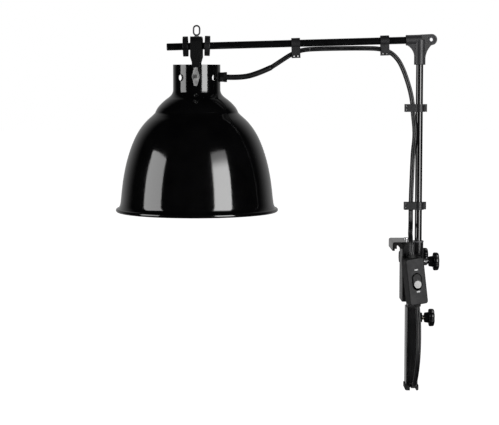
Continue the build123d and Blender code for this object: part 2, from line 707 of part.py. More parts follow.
with BuildPart() as switch_base:
    with BuildSketch(switch_mid.offset(SPLIT)):
        RectangleRounded(SWITCH_W, SWITCH_H, 3.4)
    extrude(amount=-(SWITCH_D / 2 + SPLIT))
    back_edges = switch_base.faces().sort_by(Axis((0, 0, 0), switch_out))[0].edges()
    fillet(back_edges, 1.4)
    with BuildSketch(switch_mid.offset(SPLIT)):
        RectangleRounded(SWITCH_W - 2 * SWITCH_WALL, SWITCH_H - 2 * SWITCH_WALL, 2.0)
    extrude(amount=-(SWITCH_D / 2 + SPLIT - SWITCH_WALL), mode=Mode.SUBTRACT)
    # The rocker's cradle stands on the floor of the base.
    with BuildSketch(switch_mid.offset(-SWITCH_D / 2 + SWITCH_WALL)):
        Rectangle(8, 12)
    extrude(amount=6.0)
    with BuildSketch(switch_mid.offset(-SWITCH_D / 2)):
        with GridLocations(0, 48, 1, 2):
            Circle(1.7)
    extrude(amount=SWITCH_WALL, mode=Mode.SUBTRACT)
    with BuildSketch(switch_across):
        SlotOverall(GROMMET_W, GROMMET_T)
    extrude(amount=SWITCH_H, both=True, mode=Mode.SUBTRACT)
save(switch_base.part, "switch_base")

with BuildPart() as switch_screws:
    with BuildSketch(switch_mid.offset(-SWITCH_D / 2 + 0.4)):
        with GridLocations(0, 48, 1, 2):
            Circle(1.7)
    extrude(amount=9.0)
save(switch_screws.part, "switch_screws")

rocker_pivot = switch_mid.offset(3.0)
rocker_plane = rocker_pivot.rotated((-ROCKER_TIP, 0, 0))
with BuildPart() as switch_rocker:
    with BuildSketch(rocker_plane.offset(-3.2)):
        SlotOverall(ROCKER_H, ROCKER_W, rotation=90)
    extrude(amount=10.6)
    top_edges = switch_rocker.faces().sort_by(Axis((0, 0, 0), switch_out))[-1].edges()
    fillet(top_edges, 1.2)
    # The pins that it tips on.
    with BuildSketch(Plane(origin=rocker_pivot.origin, x_dir=switch_out, z_dir=switch_x)):
        Circle(1.3)
    extrude(amount=ROCKER_W / 2 + 1.5, both=True)
save(switch_rocker.part, "switch_rocker")

with BuildPart() as switch_grommets:
    for side in (1, -1):
        end = Vector(SWITCH_AT) + switch_y * side * (SWITCH_H / 2 - SWITCH_WALL)
        with BuildSketch(Plane(origin=end, x_dir=switch_x, z_dir=switch_y * side)):
            SlotOverall(GROMMET_W, GROMMET_T)
        extrude(amount=SWITCH_WALL + GROMMET_L, taper=6)
save(switch_grommets.part, "switch_grommets")

switch_top = Vector(SWITCH_AT) + switch_y * (SWITCH_H / 2 + GROMMET_L)
switch_foot = Vector(SWITCH_AT) - switch_y * (SWITCH_H / 2 + GROMMET_L)
LEAD_END = [  # forward off the pole and down into the switch
    (18.3, 0, 44.6),
    (18.3, 0, 32.4),
    (17.5, -6.9, 22.1),
    (16.0, -18.6, 16.7),
    (14.6, -31.4, 17.2),
    (13.9, -43.2, 12.3),
    tuple(switch_top + switch_y * 12.2),
    tuple(switch_top),
]
save(lay_tube(LEAD_END, CORD_R, label="lamp lead, end"), "lamp_lead_end")

# ---- Rim clamp: body, hook and rubber ------------------------------------------------------------
BLOCK_L, BLOCK_R, BLOCK_HALF, BLOCK_TOP, BLOCK_BOTTOM = 5.5, 22.0, 20.0, 1.5, -76.0
SLEEVE_R, SLEEVE_BORE, SLEEVE_TOP, SLEEVE_FLOOR = 6.95, 6.0, 1.7, -60.0
BEAM_L, BEAM_R, BEAM_H = 10.0, 28.4, 19.0
REAR_BEAM_R = 20.1  # the beam is thinner behind the pole, where its screw is shorter
BOSS_T = 1.6
screw_faces = ((-SCREW_Y, BEAM_R), (SCREW_Y, REAR_BEAM_R))
TONGUE_X, TONGUE_W, TONGUE_D, TONGUE_END = LEG_X, 12.0, 26.4, -172.0
HOOK_T = 3.0
HOOK_L, HOOK_R = -8.3, 21.0
LIP_END = -7.1
NUT_T, NUT_AF = 5.0, 10.0
hook_screws_at = (13.6, 13.0)
nut_flat = NUT_AF / 2 / cos(radians(30))

with BuildPart() as clamp_body:
    with BuildSketch(Plane.XY.offset(BLOCK_BOTTOM)):
        with Locations(((BLOCK_L + BLOCK_R) / 2, 0)):
            RectangleRounded(BLOCK_R - BLOCK_L, 2 * BLOCK_HALF, 2.0)
    extrude(amount=BLOCK_TOP - BLOCK_BOTTOM)
    with BuildSketch(Plane.XY.offset(TONGUE_END)):
        with Locations((TONGUE_X, 0)):
            RectangleRounded(TONGUE_W, TONGUE_D, 1.0)
    extrude(amount=BLOCK_BOTTOM - TONGUE_END + 2)
    with BuildSketch(side_plane(BEAM_L, 0, SCREW_Z)):
        RectangleRounded(CLAMP_W, BEAM_H, 4.0)
    extrude(amount=BEAM_R - BEAM_L)
    with BuildSketch(side_plane(REAR_BEAM_R, (CLAMP_W + SLEEVE_R) / 2, SCREW_Z)):
        Rectangle(CLAMP_W - SLEEVE_R, BEAM_H)
    extrude(amount=BEAM_R - REAR_BEAM_R, mode=Mode.SUBTRACT)
    with BuildSketch(pole_plane(SLEEVE_FLOOR - 2)):
        Circle(SLEEVE_R)
    extrude(amount=SLEEVE_TOP - SLEEVE_FLOOR + 2)
    # The web that ties the sleeve to the block.
    with BuildSketch(Plane.XY.offset(SLEEVE_FLOOR - 2)):
        with Locations(((BLOCK_R + POLE_X) / 2 - 1, 0)):
            Rectangle(POLE_X - BLOCK_R + 2, 10.4)
    extrude(amount=BLOCK_TOP - SLEEVE_FLOOR + 2)
    with BuildSketch(pole_plane(SLEEVE_FLOOR)):
        Circle(SLEEVE_BORE)
    extrude(amount=SLEEVE_TOP - SLEEVE_FLOOR, mode=Mode.SUBTRACT)
    for screw_y, beam_face in screw_faces:
        with BuildSketch(side_plane(beam_face, screw_y, SCREW_Z)):
            Circle(8.2)
        extrude(amount=BOSS_T)
    for screw_y, beam_face in screw_faces:
        with BuildSketch(side_plane(BEAM_L, screw_y, SCREW_Z)):
            Circle(STUD_R + 0.4)
        extrude(amount=beam_face + BOSS_T - BEAM_L, mode=Mode.SUBTRACT)
        with BuildSketch(side_plane(beam_face + BOSS_T - NUT_T, screw_y, SCREW_Z)):
            RegularPolygon(nut_flat, 6)
        extrude(amount=NUT_T, mode=Mode.SUBTRACT)
    with BuildSketch(Plane.XY.offset(BLOCK_TOP)):
        with Locations((hook_screws_at[0], 0)):
            with GridLocations(0, 2 * hook_screws_at[1], 1, 2):
                Circle(1.75)
    extrude(amount=-14, mode=Mode.SUBTRACT)
save(clamp_body.part, "clamp_body")

with BuildPart() as hook_jaw:
    with BuildSketch(front_plane(0, HOOK_W / 2, 0)) as bent:
        with BuildLine():
            Polyline(
                (HOOK_L, LIP_END),
                (HOOK_L, BLOCK_TOP + HOOK_T),
                (HOOK_R, BLOCK_TOP + HOOK_T),
                (HOOK_R, BLOCK_TOP),
                (HOOK_L + HOOK_T, BLOCK_TOP),
                (HOOK_L + HOOK_T, LIP_END),
                close=True,
            )
        make_face()
        fillet(bent.vertices().sort_by_distance((HOOK_L, BLOCK_TOP + HOOK_T))[0], 2.6)
    extrude(amount=HOOK_W)
    with BuildSketch(Plane.XY.offset(BLOCK_TOP)):
        with Locations((hook_screws_at[0], 0)):
            with GridLocations(0, 2 * hook_screws_at[1], 1, 2):
                Circle(1.75)
    extrude(amount=HOOK_T, mode=Mode.SUBTRACT)
    right_ends = hook_jaw.edges().filter_by(Axis.Z).group_by(Axis.X)[-1]
    fillet(right_ends, 4.0)
save(hook_jaw.part, "hook_jaw")

PAD_L, PAD_END = HOOK_L + HOOK_T, -4.5
with BuildPart() as hook_pad:
    with BuildSketch(front_plane(0, HOOK_W / 2 - 0.5, 0)):
        with BuildLine():
            Polyline(
                (PAD_L, PAD_END),
                (PAD_L, BLOCK_TOP),
                (BLOCK_L, BLOCK_TOP),
                (BLOCK_L, PAD_END),
                (GROOVE_W / 2, PAD_END),
                (GROOVE_W / 2, 0),
                (-GROOVE_W / 2, 0),
                (-GROOVE_W / 2, PAD_END),
                close=True,
            )
        make_face()
    extrude(amount=HOOK_W - 1)
save(hook_pad.part, "hook_pad")

with BuildPart() as hook_screws:
    with BuildSketch(Plane.XY.offset(BLOCK_TOP + HOOK_T)):
        with Locations((hook_screws_at[0], 0)):
            with GridLocations(0, 2 * hook_screws_at[1], 1, 2):
                Circle(3.4)
    extrude(amount=2.0)
    fillet(hook_screws.faces().sort_by(Axis.Z)[-1].edges(), 0.9)
    with BuildSketch(Plane.XY.offset(BLOCK_TOP + HOOK_T)):
        with Locations((hook_screws_at[0], 0)):
            with GridLocations(0, 2 * hook_screws_at[1], 1, 2):
                Circle(1.75)
    extrude(amount=-14)
save(hook_screws.part, "hook_screws")

with BuildPart() as clamp_nuts:
    for screw_y, beam_face in screw_faces:
        with BuildSketch(side_plane(beam_face + BOSS_T - NUT_T, screw_y, SCREW_Z)):
            RegularPolygon(nut_flat, 6)
            Circle(STUD_R + 0.05, mode=Mode.SUBTRACT)
        extrude(amount=NUT_T)
save(clamp_nuts.part, "clamp_nuts")

with BuildPart() as sleeve_bush:
    with BuildSketch(pole_plane(SLEEVE_FLOOR)):
        Circle(SLEEVE_BORE)
    extrude(amount=SLEEVE_TOP - SLEEVE_FLOOR)
    with BuildSketch(pole_plane(SLEEVE_TOP)):
        Circle(SLEEVE_R + 0.4)
    extrude(amount=2.0)
    fillet(sleeve_bush.faces().sort_by(Axis.Z)[-1].edges(), 0.5)
    with BuildSketch(pole_plane(SLEEVE_FLOOR + 0.2)):
        Circle(TUBE_R + 0.09)
    extrude(amount=SLEEVE_TOP - SLEEVE_FLOOR + 4, mode=Mode.SUBTRACT)
save(sleeve_bush.part, "sleeve_bush")


# ---- Knobs, screws and pads ------------------------------------------------------------------------
RIM_T, HUB_T, HUB_R = 7.6, 6.0, 7.4
STUD_IN_KNOB = HUB_T + 3.0


def knob(x, y, z):
    """A seven-lobed knob, its hub facing -X at x and its rim at the far end."""
    with BuildPart() as grip:
        with BuildSketch(side_plane(x, y, z)):
            Circle(HUB_R)
        extrude(amount=HUB_T)
        with BuildSketch(side_plane(x + HUB_T, y, z)):
            Circle(KNOB_R)
        extrude(amount=RIM_T)
        rims = grip.faces().filter_by(Axis.X).sort_by(Axis.X)
        fillet(rims[-1].edges(), 2.0)
        with BuildSketch(side_plane(x + HUB_T, y, z)):
            with PolarLocations(KNOB_R + 1.0, 7):
                Circle(2.7)
        extrude(amount=RIM_T, mode=Mode.SUBTRACT)
        with BuildSketch(side_plane(x, y, z)):
            Circle(STUD_R)
        extrude(amount=STUD_IN_KNOB, mode=Mode.SUBTRACT)
    return grip.part


def stud(x, y, z, length):
    """A plain screw along +X, chamfered at its tip."""
    with BuildPart() as screw:
        with BuildSketch(side_plane(x, y, z)):
            Circle(STUD_R)
        extrude(amount=length)
        chamfer(screw.faces().sort_by(Axis.X)[0].edges(), 0.6)
    return screw.part


PAD_R, PAD_T, PAD_SOCKET = 7.5, 4.0, 2.4


def pressure_pad(x, y, z):
    """A swivel pad with a rubber-thick face and a socket for its screw's tip."""
    with BuildPart() as pad:
        with BuildSketch(side_plane(x, y, z)):
            Circle(PAD_R)
        extrude(amount=PAD_T)
        fillet(pad.edges(), 0.8)
        with BuildSketch(side_plane(x + PAD_T - PAD_SOCKET, y, z)):
            Circle(STUD_R + 0.05)
        extrude(amount=PAD_SOCKET, mode=Mode.SUBTRACT)
    return pad.part


STUD_IN_PAD = PAD_T - PAD_SOCKET + 0.1
for place, y, pad_x, knob_x in (("front", -SCREW_Y, 4.5, 39.3), ("rear", SCREW_Y, 5.6, 31.0)):
    stud_x = pad_x + STUD_IN_PAD
    save(pressure_pad(pad_x, y, SCREW_Z), f"clamp_pad_{place}")
    save(stud(stud_x, y, SCREW_Z, knob_x + STUD_IN_KNOB - stud_x), f"clamp_stud_{place}")
    save(knob(knob_x, y, SCREW_Z), f"clamp_knob_{place}")

# ---- Telescopic leg --------------------------------------------------------------------------------
LEG_WALL = 1.4
FOOT_T = 6.7
LOCK_Z = -100.0
BOSS_R, BOSS_L = 6.6, 6.3
INSERT_R = 4.6
LOCK_KNOB_X = 37.2
NOTCH_L, NOTCH_R, NOTCH_TOP = 17.6, 26.1, -186.6
NOTCH_WEB_Y = 10.0
LEAD_IN_NOTCH_X, LEAD_IN_NOTCH_Z = 22.0, -192.9
leg_right = LEG_X + LEG_W / 2
tube_bottom = LEG_BOTTOM + FOOT_T

with BuildPart() as leg_tube:
    with BuildSketch(Plane.XY.offset(tube_bottom)):
        with Locations((LEG_X, 0)):
            RectangleRounded(LEG_W, LEG_D, 2.2)
            RectangleRounded(LEG_W - 2 * LEG_WALL, LEG_D - 2 * LEG_WALL, 0.8, mode=Mode.SUBTRACT)
    extrude(amount=LEG_TOP - tube_bottom)
    with BuildSketch(side_plane(leg_right - LEG_WALL / 2, 0, LOCK_Z)):
        Circle(BOSS_R)
    extrude(amount=BOSS_L + LEG_WALL / 2)
    with BuildSketch(side_plane(leg_right - LEG_WALL, 0, LOCK_Z)):
        Circle(INSERT_R)
    extrude(amount=BOSS_L + LEG_WALL, mode=Mode.SUBTRACT)
    with BuildSketch(front_plane(0, 30, 0)):
        with Locations(((NOTCH_L + NOTCH_R) / 2, NOTCH_TOP - 10)):
            Rectangle(NOTCH_R - NOTCH_L, 20)
    extrude(amount=60, mode=Mode.SUBTRACT)
save(leg_tube.part, "leg_tube")

with BuildPart() as leg_foot:
    with BuildSketch(Plane.XY.offset(LEG_BOTTOM)):
        with Locations((LEG_X, 0)):
            RectangleRounded(LEG_W + 2.4, LEG_D + 2.4, 3.0)
    extrude(amount=FOOT_T)
    fillet(leg_foot.faces().sort_by(Axis.Z)[0].edges(), 1.2)
    with BuildSketch(Plane.XY.offset(tube_bottom)):
        with Locations((LEG_X, 0)):
            RectangleRounded(LEG_W - 2 * LEG_WALL, LEG_D - 2 * LEG_WALL, 0.8)
    extrude(amount=10.6)
    with BuildSketch(front_plane(0, 30, 0)):
        with Locations(((NOTCH_L + NOTCH_R) / 2, NOTCH_TOP - 10)):
            Rectangle(NOTCH_R - NOTCH_L, 20)
    extrude(amount=60, mode=Mode.SUBTRACT)
    # A web fills the notch again, all but a slot for the lead.
    with BuildSketch(front_plane(0, NOTCH_WEB_Y, 0)):
        with Locations(((NOTCH_L + NOTCH_R) / 2, (NOTCH_TOP + LEG_BOTTOM) / 2 + 0.5)):
            Rectangle(NOTCH_R - NOTCH_L, NOTCH_TOP - LEG_BOTTOM - 1)
        with Locations((LEAD_IN_NOTCH_X, LEAD_IN_NOTCH_Z)):
            Circle(CORD_R + 0.5, mode=Mode.SUBTRACT)
        with Locations((LEAD_IN_NOTCH_X, LEAD_IN_NOTCH_Z - 5)):
            Rectangle(2 * CORD_R + 1, 10, mode=Mode.SUBTRACT)
    extrude(amount=2.0)
save(leg_foot.part, "leg_foot")

with BuildPart() as lock_insert:
    with BuildSketch(side_plane(leg_right - LEG_WALL, 0, LOCK_Z)):
        Circle(INSERT_R)
        Circle(STUD_R + 0.05, mode=Mode.SUBTRACT)
    extrude(amount=BOSS_L + LEG_WALL)
save(lock_insert.part, "lock_insert")

stud_tip = TONGUE_X + TONGUE_W / 2 + GAP
save(stud(stud_tip, 0, LOCK_Z, LOCK_KNOB_X + STUD_IN_KNOB - stud_tip), "lock_stud")
save(knob(LOCK_KNOB_X, 0, LOCK_Z), "lock_knob")

# ---- Mains lead, its hank and the plug --------------------------------------------------------------
HANK_L, HANK_R, HANK_FRONT, HANK_BACK, HANK_TOP, HANK_BOTTOM = 18.6, 31.1, 21.8, 62.0, -36.0, -124.0
hank_x = (HANK_L + HANK_R) / 2
MAINS_LEAD = [  # down from the switch, through the foot's notch and up behind the leg
    tuple(switch_foot - switch_y * GAP),
    (25.3, -47.3, -97),
    (25.6, -48.0, -118),
    (25.2, -48.6, -139),
    (24.0, -46.5, -160),
    (22.8, -36, -178.5),
    (21.9, -20, -191.6),
    (21.7, 1, -193.2),
    (22.4, 22, -192.4),
    (23.4, 40, -184),
    (24.2, 50.5, -168),
    (hank_x, 53, -148),
    (hank_x, 53, HANK_BOTTOM - GAP),
]
save(lay_tube(MAINS_LEAD, CORD_R, label="mains lead"), "mains_lead")

with BuildPart() as lead_hank:
    with BuildSketch(side_plane(HANK_L, (HANK_FRONT + HANK_BACK) / 2, (HANK_TOP + HANK_BOTTOM) / 2)):
        SlotOverall(HANK_TOP - HANK_BOTTOM, HANK_BACK - HANK_FRONT, rotation=90)
    extrude(amount=HANK_R - HANK_L)
    fillet(lead_hank.edges(), 2.8)
save(lead_hank.part, "lead_hank")

TIE_Z, TIE_W, TIE_T = -66.0, 12.0, 1.4
with BuildPart() as hank_tie:
    with BuildSketch(Plane.XY.offset(TIE_Z - TIE_W / 2)):
        with Locations((hank_x, (HANK_FRONT + HANK_BACK) / 2)):
            Rectangle(HANK_R - HANK_L + 2 * TIE_T, HANK_BACK - HANK_FRONT + 2 * (HANK_FRONT - BLOCK_HALF))
            RectangleRounded(HANK_R - HANK_L, HANK_BACK - HANK_FRONT, 2.8, mode=Mode.SUBTRACT)
    extrude(amount=TIE_W)
save(hank_tie.part, "hank_tie")

PLUG_Y, PLUG_W, PLUG_T = 33.0, 24.0, 12.4
PLUG_TOP, PLUG_SHOULDER, PLUG_END = -123.2, -134.0, -160.0
PIN_L, PIN_W, PIN_T, PIN_PITCH = 16.0, 6.3, 1.5, 12.7
with BuildPart() as plug_body:
    with BuildSketch(Plane(origin=(hank_x, PLUG_Y, PLUG_SHOULDER), x_dir=(0, 1, 0), z_dir=(0, 0, -1))):
        RectangleRounded(PLUG_W, PLUG_T, 4.0)
    extrude(amount=PLUG_SHOULDER - PLUG_END)
    with BuildSketch(Plane(origin=(hank_x, PLUG_Y, PLUG_SHOULDER), x_dir=(0, 1, 0), z_dir=(0, 0, 1))):
        SlotOverall(13.0, 8.0)
    extrude(amount=PLUG_TOP - PLUG_SHOULDER, taper=9)
save(plug_body.part, "plug_body")

with BuildPart() as plug_pins:
    with BuildSketch(Plane(origin=(hank_x, PLUG_Y, PLUG_END), x_dir=(0, 1, 0), z_dir=(0, 0, -1))):
        with GridLocations(PIN_PITCH, 1, 2, 1):
            Rectangle(PIN_T, PIN_W)
    extrude(amount=PIN_L)
save(plug_pins.part, "plug_pins")
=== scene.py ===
import bmesh
import bpy
import math
from math import cos, pi, radians, sin
from mathutils import Matrix, Vector


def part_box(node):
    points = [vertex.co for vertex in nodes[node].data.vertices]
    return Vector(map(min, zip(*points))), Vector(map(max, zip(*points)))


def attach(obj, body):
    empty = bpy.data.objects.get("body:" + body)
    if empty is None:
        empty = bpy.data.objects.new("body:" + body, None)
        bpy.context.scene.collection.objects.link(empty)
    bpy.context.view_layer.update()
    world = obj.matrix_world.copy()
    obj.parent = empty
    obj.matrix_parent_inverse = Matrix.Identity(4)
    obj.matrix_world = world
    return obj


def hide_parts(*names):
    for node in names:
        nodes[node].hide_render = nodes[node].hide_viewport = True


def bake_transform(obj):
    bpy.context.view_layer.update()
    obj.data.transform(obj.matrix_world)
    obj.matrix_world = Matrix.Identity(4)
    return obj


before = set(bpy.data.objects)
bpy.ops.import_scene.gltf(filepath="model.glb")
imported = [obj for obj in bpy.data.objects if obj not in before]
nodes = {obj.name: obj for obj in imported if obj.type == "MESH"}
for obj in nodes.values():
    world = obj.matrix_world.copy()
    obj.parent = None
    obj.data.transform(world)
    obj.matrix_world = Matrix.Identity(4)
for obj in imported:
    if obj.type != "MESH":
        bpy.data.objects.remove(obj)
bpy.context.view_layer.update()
MM = 0.001

# ---- Places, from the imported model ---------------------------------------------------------
shade_lo, shade_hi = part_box("reflector_shade")
LAMP_X = (shade_lo.x + shade_hi.x) / 2 / MM
RIM_Z = shade_lo.z / MM
NECK_TOP = shade_hi.z / MM
PIVOT_Z = NECK_TOP - 15.7
NECK_R = 31.3
SHADE_WALL = 0.9
CORD_W, CORD_T = 6.2, 3.9  # the flat two-core lead

# ---- Camera --------------------------------------------------------------------------------
cam_data = bpy.data.cameras.new("camera")
cam_data.sensor_width = 36.0
cam_data.lens = 115.4
cam = bpy.data.objects.new("camera", cam_data)
cam.location = (-0.1968, -2.12554, 0.22342)
cam.rotation_euler = (radians(90 - 4.9), 0, 0)
cam_data.clip_start = 0.05
cam_data.clip_end = 60
bpy.context.scene.collection.objects.link(cam)
bpy.context.scene.camera = cam
bpy.context.scene.view_settings.view_transform = "Standard"


# ---- Materials -----------------------------------------------------------------------------
def shader(name):
    """A node material, its node tree, its links and its shader."""
    m = bpy.data.materials.new(name)
    m.use_nodes = True
    tree = m.node_tree
    return m, tree, tree.nodes["Principled BSDF"]


def coordinates(tree, scale=(1, 1, 1)):
    tex = tree.nodes.new("ShaderNodeTexCoord")
    mapping = tree.nodes.new("ShaderNodeMapping")
    mapping.inputs["Scale"].default_value = scale
    tree.links.new(tex.outputs["Object"], mapping.inputs["Vector"])
    return mapping.outputs["Vector"]


def noise(tree, vector, scale, detail=4.0, rough=0.55):
    n = tree.nodes.new("ShaderNodeTexNoise")
    n.inputs["Scale"].default_value = scale
    n.inputs["Detail"].default_value = detail
    n.inputs["Roughness"].default_value = rough
    tree.links.new(vector, n.inputs["Vector"])
    return n.outputs["Fac"]


def spread(tree, value, low, high, start=0.3, end=0.7):
    r = tree.nodes.new("ShaderNodeMapRange")
    r.inputs["From Min"].default_value = start
    r.inputs["From Max"].default_value = end
    r.inputs["To Min"].default_value = low
    r.inputs["To Max"].default_value = high
    tree.links.new(value, r.inputs["Value"])
    return r.outputs["Result"]


def two_colours(tree, value, dark, light, start=0.3, end=0.7):
    r = tree.nodes.new("ShaderNodeValToRGB")
    r.color_ramp.elements[0].position = start
    r.color_ramp.elements[0].color = (*dark, 1)
    r.color_ramp.elements[1].position = end
    r.color_ramp.elements[1].color = (*light, 1)
    tree.links.new(value, r.inputs["Fac"])
    return r.outputs["Color"]


def bumps(tree, bsdf, heights):
    """Chains bumps: (height output, depth in metres)."""
    last = None
    for value, depth in heights:
        b = tree.nodes.new("ShaderNodeBump")
        b.inputs["Strength"].default_value = 1.0
        b.inputs["Distance"].default_value = depth
        tree.links.new(value, b.inputs["Height"])
        if last is not None:
            tree.links.new(last, b.inputs["Normal"])
        last = b.outputs["Normal"]
    tree.links.new(last, bsdf.inputs["Normal"])


def gloss_paint(name, dark, light, rough=(0.06, 0.11), peel=0.00002, coat=0.0):
    """Sprayed gloss paint: orange peel, fine dust that dulls it, and a little colour drift."""
    m, t, b = shader(name)
    v = coordinates(t)
    t.links.new(two_colours(t, noise(t, v, 35), dark, light), b.inputs["Base Color"])
    t.links.new(spread(t, noise(t, v, 18, 6), *rough), b.inputs["Roughness"])
    b.inputs["IOR"].default_value = 1.52
    b.inputs["Coat Weight"].default_value = coat
    b.inputs["Coat Roughness"].default_value = 0.03
    bumps(t, b, [(noise(t, v, 420, 2), peel), (noise(t, v, 2600, 2), peel * 0.12)])
    return m


def moulded(name, dark, light, rough=(0.38, 0.5), grain=0.00003, scale=2600, spec=0.5):
    """Moulded plastic or rubber: a fine spark-eroded grain, flow marks, and dust."""
    m, t, b = shader(name)
    v = coordinates(t)
    t.links.new(two_colours(t, noise(t, v, 60, 6), dark, light), b.inputs["Base Color"])
    t.links.new(spread(t, noise(t, v, 140, 5), *rough), b.inputs["Roughness"])
    b.inputs["Specular IOR Level"].default_value = spec
    bumps(t, b, [(noise(t, v, scale, 3), grain), (noise(t, v, 90, 2), grain * 1.5)])
    return m


def metal(name, dark, light, rough=(0.22, 0.34), grain=(1, 1, 1), depth=0.000008, scale=900):
    """Plated or turned metal: fine marks along the grain and uneven roughness."""
    m, t, b = shader(name)
    v = coordinates(t, grain)
    t.links.new(two_colours(t, noise(t, v, 70, 5), dark, light), b.inputs["Base Color"])
    t.links.new(spread(t, noise(t, v, 200, 5), *rough), b.inputs["Roughness"])
    b.inputs["Metallic"].default_value = 1.0
    bumps(t, b, [(noise(t, v, scale, 3), depth)])
    return m


def threaded(name, dark, light, axis, pitch=0.001):
    """Plated screw: the thread's ridges as a wave along the screw's axis, which bumps the ridges and
    also paints painted shade in the grooves and a painted highlight on the crests.
    """
    m, t, b = shader(name)
    v = coordinates(t)
    wave = t.nodes.new("ShaderNodeTexWave")
    wave.bands_direction = axis
    wave.inputs["Scale"].default_value = 2 * pi / 20 / pitch
    wave.inputs["Distortion"].default_value = 0.0
    t.links.new(v, wave.inputs["Vector"])
    # The wave paints the grooves darker and the crests lighter: painted shade and painted highlight.
    t.links.new(two_colours(t, wave.outputs["Fac"], dark, light, 0.1, 0.8), b.inputs["Base Color"])
    t.links.new(spread(t, noise(t, v, 300, 4), 0.25, 0.4), b.inputs["Roughness"])
    b.inputs["Metallic"].default_value = 1.0
    bumps(t, b, [(wave.outputs["Fac"], 0.0003), (noise(t, v, 1500, 2), 0.00001)])
    return m


def flex_jacket(name, dark, light):
    """Extruded flex: satin, with faint drawing lines and handling marks."""
    m, t, b = shader(name)
    v = coordinates(t)
    t.links.new(two_colours(t, noise(t, v, 90, 5), dark, light), b.inputs["Base Color"])
    t.links.new(spread(t, noise(t, v, 240, 5), 0.26, 0.42), b.inputs["Roughness"])
    b.inputs["Specular IOR Level"].default_value = 0.35
    bumps(t, b, [(noise(t, v, 1400, 3), 0.00001), (noise(t, v, 60, 2), 0.00004)])
    return m


BLACK_PAINT = gloss_paint("reflector_black", (0.0006, 0.0006, 0.0007), (0.0013, 0.0013, 0.0014))
WHITE_PAINT = gloss_paint(
    "reflector_white", (0.78, 0.775, 0.75), (0.84, 0.835, 0.82), (0.25, 0.36), 0.00003,
)
TUBE_PAINT = gloss_paint(
    "tube_black", (0.0012, 0.0012, 0.0013), (0.0026, 0.0026, 0.0028), (0.1, 0.12), 0.0000006,
)
LEG_PAINT = gloss_paint(
    "leg_black", (0.0012, 0.0012, 0.0013), (0.0026, 0.0026, 0.0028), (0.14, 0.2), 0.000004,
)
STRAP_PAINT = gloss_paint(
    "strap_black", (0.0016, 0.0016, 0.0018), (0.003, 0.003, 0.0032), (0.2, 0.28), 0.00002,
)
GREY_MOULD = moulded(
    "moulding_grey", (0.007, 0.007, 0.0075), (0.013, 0.013, 0.014), (0.34, 0.46), spec=0.3,
)
CLIP_MOULD = moulded(
    "clip_grey", (0.004, 0.004, 0.0045), (0.009, 0.009, 0.0095), (0.32, 0.44), spec=0.22,
)
BODY_MOULD = moulded(
    "body_black", (0.002, 0.002, 0.0023), (0.0042, 0.0042, 0.0046), (0.26, 0.36), spec=0.22,
)
KNOB_MOULD = moulded(
    "knob_black", (0.0012, 0.0012, 0.0014), (0.0026, 0.0026, 0.0029), (0.16, 0.24), 0.000008,
    spec=0.3,
)
SWITCH_MOULD = moulded(
    "switch_grey", (0.003, 0.003, 0.0033), (0.0065, 0.0065, 0.007), (0.5, 0.62), 0.00005, 1900,
    0.2,
)
ROCKER_MOULD = moulded(
    "rocker_black", (0.001, 0.001, 0.0012), (0.002, 0.002, 0.0022), (0.3, 0.4), 0.000006,
    spec=0.08,
)
# Painted highlight: this light-grey disc stands in for the light that the rocker's raised lower half
# catches.
ROCKER_HIGHLIGHT_MOULD = moulded(
    "rocker_disc_painted_highlight", (0.14, 0.14, 0.14), (0.21, 0.21, 0.205), (0.4, 0.5), 0.00002,
)
MARK_INK = moulded("mark_grey", (0.2, 0.2, 0.2), (0.28, 0.28, 0.28), (0.5, 0.6), 0.00002, spec=0.2)
RUBBER = moulded(
    "rubber_black", (0.003, 0.003, 0.003), (0.006, 0.006, 0.006), (0.55, 0.72), 0.00006, 1500,
    0.2,
)
CORD = flex_jacket("flex_black", (0.002, 0.002, 0.0022), (0.0045, 0.0045, 0.005))
SLEEVE = moulded(
    "sleeve_black", (0.002, 0.002, 0.0022), (0.0045, 0.0045, 0.005), (0.3, 0.45), 0.00002, 3000,
    0.25,
)
BUSH = moulded("bush_grey", (0.03, 0.03, 0.032), (0.05, 0.05, 0.053), (0.36, 0.48), spec=0.3)
BLACK_STEEL = metal("black_steel", (0.02, 0.02, 0.022), (0.045, 0.045, 0.048), (0.3, 0.42))
HOOK_STEEL = gloss_paint(
    "hook_black", (0.0015, 0.0015, 0.0017), (0.003, 0.003, 0.0032), (0.16, 0.24), 0.00001,
)
WING_STEEL = metal("wing_steel", (0.5, 0.5, 0.5), (0.8, 0.8, 0.79), (0.34, 0.46))
ZINC = metal("zinc", (0.5, 0.5, 0.51), (0.68, 0.68, 0.69), (0.2, 0.34))
BRASS = metal("brass", (0.62, 0.45, 0.18), (0.8, 0.62, 0.3), (0.18, 0.3))
CAP_THREAD = threaded("bulb_cap_metal", (0.5, 0.5, 0.5), (0.78, 0.78, 0.77), "Z", 0.00363)
SCREW_THREAD = threaded("stud_zinc", (0.3, 0.3, 0.3), (0.6, 0.6, 0.6), "X", 0.001)
PIVOT_THREAD = threaded("pivot_zinc", (0.3, 0.3, 0.3), (0.6, 0.6, 0.6), "Y", 0.0008)
CERAMIC = gloss_paint(
    "ceramic_glaze", (0.74, 0.72, 0.66), (0.84, 0.82, 0.77), (0.12, 0.3), 0.00004, 0.3,
)


def bulb_glass():
    """Frosted bulb: glass with an inner bloom of white powder."""
    m, t, b = shader("bulb_frosted")
    v = coordinates(t)
    t.links.new(
        two_colours(t, noise(t, v, 40, 4), (0.86, 0.86, 0.84), (0.94, 0.94, 0.92)),
        b.inputs["Base Color"],
    )
    t.links.new(spread(t, noise(t, v, 500, 3), 0.16, 0.26), b.inputs["Roughness"])
    b.inputs["Transmission Weight"].default_value = 0.35
    b.inputs["Subsurface Weight"].default_value = 0.3
    b.inputs["Subsurface Scale"].default_value = 0.01
    bumps(t, b, [(noise(t, v, 1800, 2), 0.000006)])
    return m


FROSTED = bulb_glass()


def paint(node, material):
    """Gives a CAD node its finish."""
    o = nodes[node]
    if not o.material_slots:
        o.data.materials.append(material)
    for s in o.material_slots:
        s.link = "OBJECT"
        s.material = material


